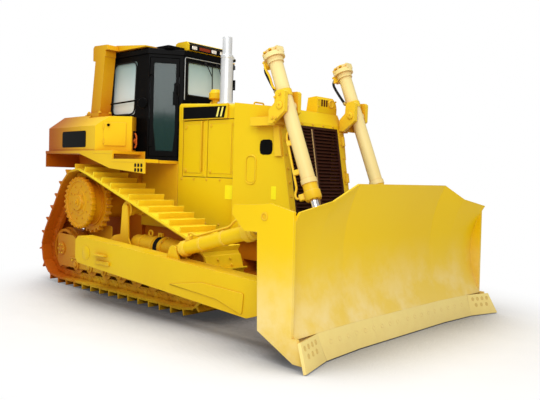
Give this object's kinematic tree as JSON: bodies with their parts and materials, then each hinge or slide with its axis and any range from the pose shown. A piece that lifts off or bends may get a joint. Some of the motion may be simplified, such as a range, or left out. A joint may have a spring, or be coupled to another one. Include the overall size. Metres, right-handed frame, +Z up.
{
  "type": "bulldozer",
  "caption": "High-drive crawler bulldozer with a concave dozing blade on push arms, a closed cab under a roll-over frame, louvred engine doors and a rear tank.",
  "frame": {"origin": "on the ground at the middle of the overall length and width", "axes": "+X forwards to the blade, +Y to the machine's left, +Z up"},
  "size_m": [5.8, 3.84, 3.46],
  "materials": {
    "yellow_paint": "semi-gloss yellow machine paint",
    "track_steel": "yellow paint over steel shoes and links",
    "blade_edge_steel": "yellow paint over hardened edge steel",
    "black_paint": "satin black",
    "dark_grille": "matt dark brown-black",
    "glass": "lightly tinted flat safety glass",
    "seat_cloth": "dark woven seat cloth",
    "bright_pipe": "silver heat-proof coating",
    "rod_chrome": "hard chrome",
    "engine_iron": "painted casting"
  },
  "bodies": {
    "tractor": {"air_precleaner": "black_paint", "belly_guard": "yellow_paint", "cab_controls": "black_paint", "cab_glass": "glass", "cab_platform": "yellow_paint", "cab_roof": "yellow_paint", "cab_shell": "black_paint", "drawbar": "yellow_paint", "engine_block": "engine_iron", "equalizer_bar": "yellow_paint", "exhaust_stack": "bright_pipe", "fenders": "yellow_paint", "final_drive_left": "yellow_paint", "final_drive_right": "yellow_paint", "fuel_tank": "yellow_paint", "grille": "dark_grille", "hood": "yellow_paint", "idlers_left": "yellow_paint", "idlers_right": "yellow_paint", "lift_yokes": "yellow_paint", "main_frame": "yellow_paint", "operator_seat": "seat_cloth", "radiator_cap_box": "yellow_paint", "radiator_core": "dark_grille", "radiator_guard": "yellow_paint", "roller_frame_left": "yellow_paint", "roller_frame_right": "yellow_paint", "rollers_left": "yellow_paint", "rollers_right": "yellow_paint", "roof_air_box": "black_paint", "rops_frame": "yellow_paint", "side_boxes": "yellow_paint", "side_panels": "yellow_paint", "sprocket_left": "yellow_paint", "sprocket_right": "yellow_paint", "track_left": "track_steel", "track_right": "track_steel"},
    "left_arm": {"push_arm_left": "yellow_paint"},
    "right_arm": {"push_arm_right": "yellow_paint"},
    "blade": {"blade": "yellow_paint", "cutting_edge": "blade_edge_steel", "end_bits": "blade_edge_steel"},
    "lift_barrel_left": {"lift_barrel_left": "yellow_paint"},
    "lift_barrel_right": {"lift_barrel_right": "yellow_paint"},
    "lift_rod_left": {"lift_rod_left": "rod_chrome"},
    "lift_rod_right": {"lift_rod_right": "rod_chrome"},
    "tilt_barrel": {"tilt_barrel": "yellow_paint"},
    "tilt_rod": {"tilt_rod": "rod_chrome"},
    "tilt_brace": {"tilt_brace": "yellow_paint"},
    "cab_door_left": {"cab_door_left": "black_paint", "door_glass_left": "glass"},
    "cab_door_right": {"cab_door_right": "black_paint", "door_glass_right": "glass"},
    "engine_door_front_left": {"engine_door_front_left": "yellow_paint"},
    "engine_door_front_right": {"engine_door_front_right": "yellow_paint"},
    "engine_door_rear_left": {"engine_door_rear_left": "yellow_paint"},
    "engine_door_rear_right": {"engine_door_rear_right": "yellow_paint"}
  },
  "joints": [
    {"name": "blade_lift", "type": "hinge", "parent": "tractor", "child": "left_arm", "pos_m": [-1.05, 1.465, 0.6], "axis": [0, -1, 0], "range_deg": [-7.4, 16.5]},
    {"name": "blade_tilt", "type": "hinge", "parent": "left_arm", "child": "blade", "pos_m": [2.24, 1.465, 0.47], "axis": [1, 0, 0], "range_deg": [-6, 6]},
    {"name": "right_arm_pivot", "type": "hinge", "parent": "left_arm", "child": "right_arm", "pos_m": [-1.05, -1.465, 0.6], "axis": [0, -1, 0], "range_deg": [-5.35, 5.35]},
    {"name": "lift_cylinder_swing_left", "type": "hinge", "parent": "tractor", "child": "lift_barrel_left", "pos_m": [1.5, 0.66, 2.44], "axis": [0, -1, 0], "range_deg": [-5.23, 11.64]},
    {"name": "lift_rod_stroke_left", "type": "slide", "parent": "lift_barrel_left", "child": "lift_rod_left", "axis": [0.3761, 0, -0.9266], "range_m": [-0.88748, 0.3983]},
    {"name": "lift_cylinder_swing_right", "type": "hinge", "parent": "tractor", "child": "lift_barrel_right", "pos_m": [1.5, -0.66, 2.44], "axis": [0, -1, 0], "range_deg": [-5.23, 11.64]},
    {"name": "lift_rod_stroke_right", "type": "slide", "parent": "lift_barrel_right", "child": "lift_rod_right", "axis": [0.3761, 0, -0.9266], "range_m": [-0.88748, 0.3983]},
    {"name": "tilt_cylinder_swing", "type": "hinge", "parent": "right_arm", "child": "tilt_barrel", "pos_m": [0.62, -1.465, 0.79], "axis": [0.2609, -0.1231, -0.9575], "range_deg": [-2.8, 2.8]},
    {"name": "tilt_rod_stroke", "type": "slide", "parent": "tilt_barrel", "child": "tilt_rod", "axis": [0.9648, 0, 0.2629], "range_m": [-0.05731, 0.05731]},
    {"name": "tilt_brace_swing", "type": "hinge", "parent": "left_arm", "child": "tilt_brace", "pos_m": [0.62, 1.465, 0.79], "axis": [0.2629, 0, -0.9648], "range_deg": [-2.77, 2.77]},
    {"name": "cab_door_left_hinge", "type": "hinge", "parent": "tractor", "child": "cab_door_left", "pos_m": [-0.87522, 0.79371, 2.54], "axis": [0, 0, 1], "range_deg": [0, 115]},
    {"name": "cab_door_right_hinge", "type": "hinge", "parent": "tractor", "child": "cab_door_right", "pos_m": [-0.87522, -0.79371, 2.54], "axis": [0, 0, -1], "range_deg": [0, 115]},
    {"name": "engine_door_rear_left_hinge", "type": "hinge", "parent": "tractor", "child": "engine_door_rear_left", "pos_m": [-0.0225, 0.4875, 1.985], "axis": [0, 0, -1], "range_deg": [0, 90]},
    {"name": "engine_door_rear_right_hinge", "type": "hinge", "parent": "tractor", "child": "engine_door_rear_right", "pos_m": [-0.0225, -0.4875, 1.985], "axis": [0, 0, 1], "range_deg": [0, 90]},
    {"name": "engine_door_front_left_hinge", "type": "hinge", "parent": "tractor", "child": "engine_door_front_left", "pos_m": [0.5385, 0.4875, 1.985], "axis": [0, 0, -1], "range_deg": [0, 90]},
    {"name": "engine_door_front_right_hinge", "type": "hinge", "parent": "tractor", "child": "engine_door_front_right", "pos_m": [0.5385, -0.4875, 1.985], "axis": [0, 0, 1], "range_deg": [0, 90]}
  ],
  "couplings": [
    {"joint": "right_arm_pivot", "follows": "blade_tilt", "ratio": -0.89058},
    {"joint": "lift_cylinder_swing_left", "follows": "blade_lift", "ratio": 0.705},
    {"joint": "lift_rod_stroke_left", "follows": "blade_lift", "m_per_rad": -3.08},
    {"joint": "lift_cylinder_swing_right", "follows": "blade_lift", "ratio": 0.705},
    {"joint": "lift_rod_stroke_right", "follows": "blade_lift", "m_per_rad": -3.08},
    {"joint": "tilt_cylinder_swing", "follows": "blade_tilt", "ratio": 0.4643},
    {"joint": "tilt_rod_stroke", "follows": "blade_tilt", "m_per_rad": -0.54249},
    {"joint": "tilt_brace_swing", "follows": "blade_tilt", "ratio": 0.46077}
  ]
}
